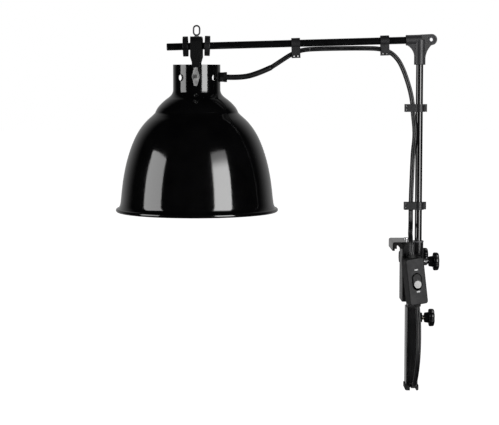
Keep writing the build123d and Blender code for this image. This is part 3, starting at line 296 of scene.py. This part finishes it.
FINISHES = {
    "neck_cap": BLACK_PAINT,
    "arm_tube": TUBE_PAINT,
    "pole_tube": TUBE_PAINT,
    "bail_strap": STRAP_PAINT,
    "elbow": GREY_MOULD,
    "arm_cord_clips": CLIP_MOULD,
    "pole_cord_clips": CLIP_MOULD,
    "stop_collar_left": CLIP_MOULD,
    "stop_collar_right": CLIP_MOULD,
    "arm_end_plug": GREY_MOULD,
    "clamp_body": BODY_MOULD,
    "leg_tube": LEG_PAINT,
    "leg_foot": RUBBER,
    "switch_base": SWITCH_MOULD,
    "switch_cover": SWITCH_MOULD,
    "switch_rocker": ROCKER_MOULD,
    "gland_body": BODY_MOULD,
    "gland_nut": BODY_MOULD,
    "plug_body": BODY_MOULD,
    "hook_jaw": HOOK_STEEL,
    "wing_nut_front": WING_STEEL,
    "wing_nut_rear": WING_STEEL,
    "pivot_washers": BLACK_STEEL,
    "pivot_studs": PIVOT_THREAD,
    "eye_ring": BLACK_STEEL,
    "eye_nut": BLACK_STEEL,
    "elbow_eyelet": BLACK_STEEL,
    "hook_screws": ZINC,
    "clamp_nuts": ZINC,
    "clamp_stud_front": SCREW_THREAD,
    "clamp_stud_rear": SCREW_THREAD,
    "lock_stud": SCREW_THREAD,
    "switch_screws": ZINC,
    "lampholder_screws": ZINC,
    "pivot_nuts": ZINC,
    "socket_bracket": ZINC,
    "lock_insert": BRASS,
    "lampholder_shell": BRASS,
    "lampholder_contact": BRASS,
    "plug_pins": BRASS,
    "bulb_contact": BRASS,
    "bulb_cap": CAP_THREAD,
    "hook_pad": RUBBER,
    "clamp_pad_front": RUBBER,
    "clamp_pad_rear": RUBBER,
    "switch_grommets": RUBBER,
    "hank_tie": RUBBER,
    "bulb_glass": FROSTED,
    "lampholder_body": CERAMIC,
    "sleeve_bush": BUSH,
}
for name, finish in FINISHES.items():
    paint(name, finish)


# ---- Mesh helpers --------------------------------------------------------------------------
def keep(name, mesh, material, body, smooth=True):
    """Makes a piece of a mesh in millimetres, and lets it ride on a body, if it names one."""
    mesh.transform(Matrix.Scale(MM, 4))
    mesh.update()
    o = bpy.data.objects.new(name, mesh)
    bpy.context.scene.collection.objects.link(o)
    for m in material if isinstance(material, list) else [material]:
        mesh.materials.append(m)
    for p in mesh.polygons:
        p.use_smooth = smooth
    if body:
        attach(o, body)
    return o


def from_bmesh(name, bm):
    bmesh.ops.recalc_face_normals(bm, faces=bm.faces)
    mesh = bpy.data.meshes.new(name)
    bm.to_mesh(mesh)
    bm.free()
    return mesh


def loops_to_mesh(name, loops, closed_ends=True):
    """A skin over closed loops of points, one after the other."""
    bm = bmesh.new()
    rows = [[bm.verts.new(p) for p in loop] for loop in loops]
    n = len(rows[0])
    for a, b in zip(rows, rows[1:]):
        for i in range(n):
            j = (i + 1) % n
            bm.faces.new((a[i], a[j], b[j], b[i]))
    if closed_ends:
        bm.faces.new(rows[0])
        bm.faces.new(rows[-1])
    return from_bmesh(name, bm)


def sharp_edges(o, angle=35):
    """Shades flat across edges sharper than the angle."""
    bm = bmesh.new()
    bm.from_mesh(o.data)
    for e in bm.edges:
        if len(e.link_faces) == 2 and e.calc_face_angle(0) > radians(angle):
            e.smooth = False
    bm.to_mesh(o.data)
    bm.free()


# ---- The lamp lead -------------------------------------------------------------------------
def spline_through(name, route):
    """One open NURBS spline with the route's points, in metres."""
    data = bpy.data.curves.new(name + "_line", "CURVE")
    data.dimensions = "3D"
    data.resolution_u = 10
    s = data.splines.new("NURBS")
    s.points.add(len(route) - 1)
    for point, place in zip(s.points, route):
        point.co = (place[0] * MM, place[1] * MM, place[2] * MM, 1)
    s.order_u = 3
    s.use_endpoint_u = True
    o = bpy.data.objects.new(name + "_line", data)
    bpy.context.scene.collection.objects.link(o)
    mesh = bpy.data.meshes.new_from_object(o)
    line = [v.co.copy() for v in mesh.vertices]
    bpy.data.objects.remove(o)
    bpy.data.curves.remove(data)
    bpy.data.meshes.remove(mesh)
    return line


def line_length(line):
    return sum((b - a).length for a, b in zip(line, line[1:]))


def twin_section(width, thick, steps=10):
    """The section of a flat two-core flex: two rounds with a groove between them."""
    r = thick / 2
    d = width / 2 - r
    waist = radians(48)
    half = []
    for k in range(steps + 1):
        a = -pi + waist + (2 * pi - 2 * waist) * k / steps
        half.append((d + r * cos(a + 0), r * sin(a)))
    right = [(x, y) for x, y in half]
    left = [(-x, -y) for x, y in half]
    return right + left


def round_section(radius, steps=18):
    return [(radius * cos(2 * pi * k / steps), radius * sin(2 * pi * k / steps)) for k in range(steps)]


def along_line(name, line, section, side, material, body, sizes=None):
    """Sweeps a section along the points. side(k) is the direction of the section's width there."""
    loops = []
    count = len(line)
    for k, p in enumerate(line):
        a, b = line[max(k - 1, 0)], line[min(k + 1, count - 1)]
        t = (b - a).normalized()
        w = side(k / (count - 1))
        w = (w - t * w.dot(t)).normalized()
        h = t.cross(w)
        s = sizes(k / (count - 1)) if sizes else 1.0
        loops.append([(p / MM) + w * x * s + h * y * s for x, y in section])
    return keep(name, loops_to_mesh(name, loops), material, body)


def in_front_plane(line):
    """The width lies in the plane of the arm and the pole, square to the line."""
    def side(u):
        k = min(int(u * (len(line) - 1)), len(line) - 2)
        t = (line[k + 1] - line[k]).normalized()
        return t.cross(Vector((0, 1, 0)))
    return side


def flat_lead(name, route, body, twist=None):
    line = spline_through(name, route)
    side = in_front_plane(line)
    turned = side if twist is None else (lambda u: twist(u, side(u)))
    piece = along_line(name, line, twin_section(CORD_W, CORD_T), turned, CORD, body)
    return piece, line, line_length(line)


gland_end = LAMP_X + NECK_R + 8.8
START = [(gland_end - 3.0, 0, PIVOT_Z - 0.7), (-209, 0, 220.2), (-187, 0, 225.2), (-168, 0, 234.0)]
RISE = [
    (-168.2, 0, 233.9),
    (-155.5, 0, 242.2),
    (-141.5, 0, 251.4),
    (-127, 0, 257.2),
    (-116.5, 0, 257.8),
]
RUN = [
    (-116.5, 0, 257.8),
    (-106, 0, 258.4),
    (-74, 0, 259.0),
    (-45, 0, 259.2),
    (-25, 0, 258.7),
    (-10.5, 0, 254.2),
    (-0.4, 0, 244.8),
    (6.3, 0, 232.2),
    (11.6, 0, 218),
    (16.2, 0, 203),
    (19.4, 0, 187),
    (20.3, -0.4, 171),
    (22, -4.7, 155),
    (22, -5.2, 139),
    (20.4, -2, 123),
    (19.9, 0, 106),
    (19.2, 0, 84),
    (18.4, 0, 62),
    (18.3, 0, 44.9),
]
SWITCH_AT = Vector((19.3, -48.9, -44.3))
YAW, ROLL = radians(14), radians(7)
SWITCH_OUT = Vector((sin(YAW), -cos(YAW), 0))
level = Vector((cos(YAW), sin(YAW), 0))
SWITCH_X = level * cos(ROLL) + Vector((0, 0, 1)) * sin(ROLL)
SWITCH_Y = Vector((0, 0, 1)) * cos(ROLL) - level * sin(ROLL)
switch_top = SWITCH_AT + SWITCH_Y * 34.5
switch_foot = SWITCH_AT - SWITCH_Y * 34.5
END = [
    (18.3, 0, 44.9),
    (18.3, 0, 32.4),
    (17.5, -6.9, 22.1),
    (16.0, -18.6, 16.7),
    (14.6, -31.4, 17.2),
    (13.9, -43.2, 12.3),
    tuple(switch_top + SWITCH_Y * 12.2),
    tuple(switch_top - SWITCH_Y * 2),
]
HANK_L, HANK_R, HANK_FRONT, HANK_BACK, HANK_TOP, HANK_BOTTOM = 18.6, 31.1, 21.8, 62.0, -36.0, -124.0
hank_x = (HANK_L + HANK_R) / 2
MAINS_DOWN = [
    tuple(switch_foot + SWITCH_Y * 2),
    (25.3, -47.3, -97),
    (25.6, -48.0, -118),
    (25.2, -48.6, -139),
    (24.0, -46.5, -160),
    (22.8, -36, -178.5),
    (21.9, -20, -191.6),
    (21.8, -9.5, -192.4),
]
MAINS_UP = [
    (21.8, -9.5, -192.4),
    (21.7, 1, -193.2),
    (22.4, 22, -192.4),
    (23.4, 40, -184),
    (24.2, 50.5, -168),
    (hank_x, 53, -148),
    (hank_x, 53, -124.3),
]


def hank_route():
    """Six flat turns in two layers, ending at the plug."""
    middle_y, half_w = (HANK_FRONT + HANK_BACK) / 2, (HANK_BACK - HANK_FRONT) / 2
    top, bottom = HANK_TOP - half_w, HANK_BOTTOM + half_w
    points = [(hank_x, 53, -124.6), (hank_x - 2.0, 56.5, -110)]
    inset = [2.4, 6.7, 11.0, 11.0, 6.7, 2.4]
    for turn, gap in enumerate(inset):
        x = hank_x - 3.05 if turn < 3 else hank_x + 3.05
        r = half_w - gap
        wide = r / cos(pi / 8)
        ring = [(middle_y + r, bottom + 14), (middle_y + r, top - 14)]
        over = (1.18, 0.39, -0.39, -1.18)
        ring += [(middle_y + wide * sin(a), top + wide * cos(a)) for a in over]
        ring += [(middle_y - r, top - 14), (middle_y - r, bottom + 14)]
        under = (-1.96, -2.75, 2.75, 1.96)
        ring += [(middle_y + wide * sin(a), bottom + wide * cos(a)) for a in under]
        points += [(x, y, z) for y, z in ring]
    points = points[:-3]
    points += [(hank_x + 2.0, 35.5, -110), (hank_x, 33, -123.6)]
    return points


def hank_side(u):
    return Vector((1, 0, 0))


start_piece, start_line, start_len = flat_lead("lamp_lead_start_flex", START, None)
rise_piece, rise_line, rise_len = flat_lead("lamp_lead_rise_flex", RISE, None)
run_piece, run_line, run_len = flat_lead("lamp_lead_run_flex", RUN, "pole")
end_piece, end_line, end_len = flat_lead(
    "lamp_lead_end_flex",
    END,
    None,
    lambda u, s: Vector((1, 0, 0)),
)
down_piece, down_line, down_len = flat_lead(
    "mains_lead_down_flex", MAINS_DOWN, None, lambda u, s: Vector((1, 0, 0))
)
up_piece, up_line, up_len = flat_lead(
    "mains_lead_up_flex", MAINS_UP, None, lambda u, s: Vector((1, 0, 0))
)
hank_line = spline_through("lead_hank_flex", hank_route())
hank_piece = along_line(
    "lead_hank_flex", hank_line, twin_section(6.0, CORD_T), hank_side, CORD, "clamp",
)
sleeve_piece = along_line(
    "lead_heat_sleeve_tube",
    spline_through("heat_sleeve", START),
    round_section(3.6),
    in_front_plane(start_line),
    SLEEVE,
    None,
)


def bend_between(piece):
    """Bakes the piece's placement into its mesh."""
    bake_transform(piece)


bend_between(start_piece)
bend_between(sleeve_piece)
bend_between(rise_piece)
bend_between(end_piece)
bend_between(down_piece)
bend_between(up_piece)

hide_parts("lamp_lead_start")
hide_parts("lead_heat_sleeve")
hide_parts("lamp_lead_run")
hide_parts("lamp_lead_run")
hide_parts("lamp_lead_end")
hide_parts("mains_lead")
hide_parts("mains_lead")
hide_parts("lead_hank")

# ---- Reflector -----------------------------------------------------------------------------
FLARE = PIVOT_Z - 19.5
PROFILE = [
    (31.3, NECK_TOP),
    (31.3, FLARE + 6),
    (31.6, FLARE),
    (33.2, PIVOT_Z - 23.4),
    (36.6, PIVOT_Z - 27.0),
    (41.4, PIVOT_Z - 30.6),
    (46.6, PIVOT_Z - 35.2),
    (51.4, PIVOT_Z - 40.6),
    (54.0, PIVOT_Z - 45.0),
    (55.4, PIVOT_Z - 48.0),
    (59.0, PIVOT_Z - 51.6),
    (65.4, PIVOT_Z - 57.4),
    (71.0, PIVOT_Z - 63.6),
    (76.0, PIVOT_Z - 70.4),
    (80.6, PIVOT_Z - 78.0),
    (84.8, PIVOT_Z - 87.0),
    (88.6, PIVOT_Z - 97.0),
    (92.6, PIVOT_Z - 110.0),
    (95.7, PIVOT_Z - 123.0),
    (98.2, PIVOT_Z - 137.0),
    (100.0, PIVOT_Z - 151.0),
    (101.3, PIVOT_Z - 163.0),
    (102.5, PIVOT_Z - 170.0),
    (104.9, PIVOT_Z - 174.6),
]


def smooth_profile(points, fine=8):
    """A Catmull-Rom run through the points."""
    out = []
    for i in range(len(points) - 1):
        p = [Vector(points[min(max(i + k, 0), len(points) - 1)]) for k in (-1, 0, 1, 2)]
        for k in range(fine):
            t = k / fine
            out.append(
                0.5
                * (
                    2 * p[1]
                    + (p[2] - p[0]) * t
                    + (2 * p[0] - 5 * p[1] + 4 * p[2] - p[3]) * t * t
                    + (3 * p[1] - p[0] - 3 * p[2] + p[3]) * t * t * t
                )
            )
    out.append(Vector(points[-1]))
    return out


def lathe(profile, steps=160):
    """Turns (radius, height) points round the lamp's axis; the profile is a closed loop."""
    bm = bmesh.new()
    rows = []
    for k in range(steps):
        a = 2 * pi * k / steps
        rows.append([bm.verts.new((LAMP_X + r * cos(a), r * sin(a), z)) for r, z in profile])
    n = len(profile)
    for k in range(steps):
        a, b = rows[k], rows[(k + 1) % steps]
        for i in range(n):
            j = (i + 1) % n
            bm.faces.new((a[i], a[j], b[j], b[i]))
    return bm


outer = smooth_profile(PROFILE)
# A shallow spun step below the crease, and the curl of the rim.
normals = []
for i, p in enumerate(outer):
    t = (outer[min(i + 1, len(outer) - 1)] - outer[max(i - 1, 0)]).normalized()
    normals.append(Vector((t.y, -t.x)))
inner = [p + n * SHADE_WALL for p, n in zip(outer, normals)]
bead_c, bead_r = Vector((105.4, RIM_Z + 2.6)), 2.6
curl_angles = [radians(100 - 300 * k / 22) for k in range(23)]
curl = [bead_c + Vector((cos(a), sin(a))) * bead_r for a in curl_angles]
section = [tuple(p) for p in outer] + [tuple(p) for p in curl] + [tuple(p) for p in reversed(inner)]
bm = lathe(section)
first_inner = len(outer) + len(curl)
bm.faces.ensure_lookup_table()
n = len(section)
for index, f in enumerate(bm.faces):
    i = index % n
    # White inside the dome; the neck above it is black inside and out.
    low = max(v.co.z for v in f.verts) < NECK_TOP - 30
    f.material_index = 1 if i >= first_inner - 1 and i < n - 1 and low else 0
shade_mesh = from_bmesh("reflector_mesh", bm)
shade = keep("reflector_spun_shade", shade_mesh, [BLACK_PAINT, WHITE_PAINT], "lamp_head")


def drill(target, holes):
    """Cuts round holes: (centre, direction, radius, depth), in millimetres."""
    for centre, direction, radius, depth in holes:
        bm = bmesh.new()
        bmesh.ops.create_cone(
            bm, cap_ends=True, segments=40, radius1=radius, radius2=radius, depth=depth,
        )
        turn = Vector(direction).to_track_quat("Z", "Y").to_matrix().to_4x4()
        bmesh.ops.transform(bm, matrix=Matrix.Translation(Vector(centre)) @ turn, verts=bm.verts)
        mesh = from_bmesh("drill", bm)
        mesh.transform(Matrix.Scale(MM, 4))
        cutter = bpy.data.objects.new("drill", mesh)
        bpy.context.scene.collection.objects.link(cutter)
        mod = target.modifiers.new("hole", "BOOLEAN")
        mod.object = cutter
        mod.solver = "EXACT"
        with bpy.context.temp_override(object=target, active_object=target):
            bpy.ops.object.modifier_apply(modifier=mod.name)
        bpy.data.objects.remove(cutter)
        bpy.data.meshes.remove(mesh)


VENT_R, FIRST_VENT = 4.5, 50.5  # the first vent's angle, in degrees from +X
PIVOT_HOLE_R, GLAND_HOLE_R, CUT_DEPTH = 2.6, 4.8, 8
holes = []
for quarter in range(4):
    turn = radians(FIRST_VENT + 90 * quarter)
    d = Vector((cos(turn), sin(turn), 0))
    holes.append((Vector((LAMP_X, 0, PIVOT_Z - 1.5)) + d * NECK_R, d, VENT_R, CUT_DEPTH + 4))
holes.append(((LAMP_X, -NECK_R, PIVOT_Z), (0, 1, 0), PIVOT_HOLE_R, CUT_DEPTH))
holes.append(((LAMP_X, NECK_R, PIVOT_Z), (0, 1, 0), PIVOT_HOLE_R, CUT_DEPTH))
holes.append(((LAMP_X + NECK_R, 0, PIVOT_Z - 0.7), (1, 0, 0), GLAND_HOLE_R, CUT_DEPTH))
drill(shade, holes)
sharp_edges(shade, 40)
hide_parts("reflector_shade")

# ---- Knobs ---------------------------------------------------------------------------------


def knob(name, node, body, turn):
    """A seven-lobed grip with rounded lobes, a stepped hub and a moulded cap."""
    lo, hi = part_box(node)
    x0, x1 = lo.x / MM, hi.x / MM
    cy, cz = (lo.y + hi.y) / 2 / MM, (lo.z + hi.z) / 2 / MM
    if abs(cy) < 3:
        cy = 0.0
    else:
        cy = math.copysign(28.0, cy)
    cz = -21.1 if cy else -100.0
    lobes, steps = 7, 140

    def ring(x, r, depth):
        pts = []
        for k in range(steps):
            a = 2 * pi * k / steps + turn
            c = cos(lobes * (a - turn))
            dip = depth * max(0.0, -c) ** 1.4
            pts.append(Vector((x, cy + (r - dip) * cos(a), cz + (r - dip) * sin(a))))
        return pts

    hub_end = x0 + 6.0
    rings = [
        ring(x0, 5.6, 0),
        ring(x0 + 0.5, 6.6, 0),
        ring(x0 + 4.4, 7.2, 0),
        ring(hub_end, 7.4, 0),
        ring(hub_end + 0.05, 10.6, 1.9),
        ring(hub_end + 0.5, 11.5, 2.2),
        ring(hub_end + 1.4, 11.95, 2.4),
        ring(x1 - 2.6, 11.95, 2.4),
        ring(x1 - 1.2, 11.4, 2.3),
        ring(x1 - 0.4, 10.4, 2.0),
        ring(x1 - 0.1, 9.2, 1.4),
        ring(x1 - 0.3, 7.4, 0.2),
        ring(x1 - 1.0, 6.6, 0),
        ring(x1 - 1.0, 3.0, 0),
        ring(x1 - 0.9, 1.2, 0),
    ]
    o = keep(name, loops_to_mesh(name, rings), KNOB_MOULD, body)
    sharp_edges(o, 50)
    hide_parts(node)


knob("front_knob_grip", "clamp_knob_front", "front_screw", 0.2)
knob("rear_knob_grip", "clamp_knob_rear", "rear_screw", 0.65)
knob("lock_knob_grip", "lock_knob", "leg_lock", 0.05)

# ---- Switch details ------------------------------------------------------------------------
ROCKER_TIP = radians(6)


def on_switch(x, y, z):
    return SWITCH_AT + SWITCH_X * x + SWITCH_Y * y + SWITCH_OUT * z


def pill(name, centre, half_w, half_h, thick, material, body, place, steps=24):
    """A small raised mark with rounded ends, on the switch's face or rocker."""
    def loop(grow, z):
        pts = []
        r = min(half_w, half_h) * grow
        for k in range(steps):
            a = 2 * pi * k / steps
            ex = (half_w - min(half_w, half_h)) * (1 if cos(a) > 0 else -1)
            ey = (half_h - min(half_w, half_h)) * (1 if sin(a) > 0 else -1)
            pts.append(
                place(centre[0] + ex + r * cos(a), centre[1] + ey + r * sin(a), centre[2] + z),
            )
        return pts
    rings = [loop(1.0, -0.1), loop(1.0, thick * 0.7), loop(0.9, thick)]
    o = keep(name, loops_to_mesh(name, rings), material, body)
    sharp_edges(o, 40)
    return o


face = 9.0
for name, y in (("switch_mark_upper", 15.6), ("switch_mark_lower", -13.4)):
    pill(name, (0.4, y, face), 2.4, 0.95, 0.12, MARK_INK, "clamp", on_switch)

rocker_axis = on_switch(0, 0, 3.0)
tip_x = SWITCH_X
tip_out = (SWITCH_OUT * cos(ROCKER_TIP) + SWITCH_Y * sin(ROCKER_TIP)).normalized()
tip_y = (SWITCH_Y * cos(ROCKER_TIP) - SWITCH_OUT * sin(ROCKER_TIP)).normalized()


def on_rocker(x, y, z):
    return rocker_axis + tip_x * x + tip_y * y + tip_out * z


# The light-grey disc on the rocker's lower half is a painted highlight, standing in for the light that
# the raised half catches.
disc = pill(
    "switch_rocker_highlight_disc", (0, -4.4, 7.3), 4.9, 4.9, 0.35, ROCKER_HIGHLIGHT_MOULD, "rocker", on_rocker, 36,
)


# ---- Floor and light -----------------------------------------------------------------------
def stage_plane(name, size, centre, material):
    bm = bmesh.new()
    bmesh.ops.create_grid(bm, x_segments=1, y_segments=1, size=size)
    mesh = bpy.data.meshes.new(name)
    bm.to_mesh(mesh)
    bm.free()
    mesh.materials.append(material)
    o = bpy.data.objects.new(name, mesh)
    o.location = centre
    bpy.context.scene.collection.objects.link(o)
    return o


floor_mat, floor_tree, floor_bsdf = shader("floor_pale")
floor_v = coordinates(floor_tree)
floor_tree.links.new(
    two_colours(floor_tree, noise(floor_tree, floor_v, 3), (0.9, 0.9, 0.9), (0.93, 0.93, 0.93)),
    floor_bsdf.inputs["Base Color"],
)
floor_bsdf.inputs["Roughness"].default_value = 0.9
floor_bsdf.inputs["Emission Color"].default_value = (1, 1, 1, 1)
floor_bsdf.inputs["Emission Strength"].default_value = 0.8
floor = stage_plane("floor", 30, (0, 0, -0.9), floor_mat)
floor.visible_glossy = False  # the gloss paint mirrors the studio only


def softbox(name, azimuth, elevation, distance, width, height, power, aim):
    """A lit panel round the lamp; azimuth is from the camera's side, to the right."""
    data = bpy.data.lights.new(name, "AREA")
    data.shape = "RECTANGLE"
    data.size = width
    data.size_y = height
    data.energy = power
    o = bpy.data.objects.new(name, data)
    a, e = radians(azimuth), radians(elevation)
    out = Vector((sin(a) * cos(e), -cos(a) * cos(e), sin(e)))
    o.location = Vector(aim) + out * distance
    o.rotation_mode = "QUATERNION"
    o.rotation_quaternion = out.to_track_quat("Z", "Y")
    bpy.context.scene.collection.objects.link(o)
    return o


def fade_with_height(light, low_z, high_z, low, high):
    """Dims a softbox towards one end, from low to high over a span of heights."""
    light.data.use_nodes = True
    tree = light.data.node_tree
    place = tree.nodes.new("ShaderNodeNewGeometry")
    axes = tree.nodes.new("ShaderNodeSeparateXYZ")
    ramp = tree.nodes.new("ShaderNodeMapRange")
    ramp.interpolation_type = "SMOOTHSTEP"
    ramp.inputs["From Min"].default_value = low_z
    ramp.inputs["From Max"].default_value = high_z
    ramp.inputs["To Min"].default_value = low
    ramp.inputs["To Max"].default_value = high
    tree.links.new(place.outputs["Position"], axes.inputs["Vector"])
    tree.links.new(axes.outputs["Z"], ramp.inputs["Value"])
    tree.links.new(ramp.outputs["Result"], tree.nodes["Emission"].inputs["Strength"])


lamp_middle = (LAMP_X * MM, 0, 0.14)
softbox("left_strip", -67, 3, 1.5, 0.80, 1.27, 17.8, lamp_middle)
right = softbox("right_strip", 40.5, 6, 1.5, 0.709, 1.46, 36, lamp_middle)
fade_with_height(right, 0.62, 0.92, 1.0, 0.25)

world = bpy.data.worlds.new("studio")
bpy.context.scene.world = world
world.use_nodes = True
wt = world.node_tree
background = wt.nodes["Background"]
ray = wt.nodes.new("ShaderNodeLightPath")
tex = wt.nodes.new("ShaderNodeTexCoord")
split = wt.nodes.new("ShaderNodeSeparateXYZ")
wt.links.new(tex.outputs["Generated"], split.inputs["Vector"])
# A white room, which the gloss paint mirrors as white behind the object and dark in front of it.
behind = wt.nodes.new("ShaderNodeMapRange")
behind.interpolation_type = "SMOOTHSTEP"
behind.inputs["From Min"].default_value = 0.35
behind.inputs["From Max"].default_value = 0.85
behind.inputs["To Min"].default_value = 0.001
behind.inputs["To Max"].default_value = 0.4
wt.links.new(split.outputs["Y"], behind.inputs["Value"])
strength = wt.nodes.new("ShaderNodeMix")
strength.data_type = "FLOAT"
wt.links.new(ray.outputs["Is Glossy Ray"], strength.inputs["Factor"])
strength.inputs["A"].default_value = 0.3
wt.links.new(behind.outputs["Result"], strength.inputs["B"])
backdrop = wt.nodes.new("ShaderNodeMix")
backdrop.data_type = "FLOAT"
wt.links.new(ray.outputs["Is Camera Ray"], backdrop.inputs["Factor"])
wt.links.new(strength.outputs["Result"], backdrop.inputs["A"])
backdrop.inputs["B"].default_value = 1.0
wt.links.new(backdrop.outputs["Result"], background.inputs["Strength"])
background.inputs["Color"].default_value = (1, 1, 1, 1)
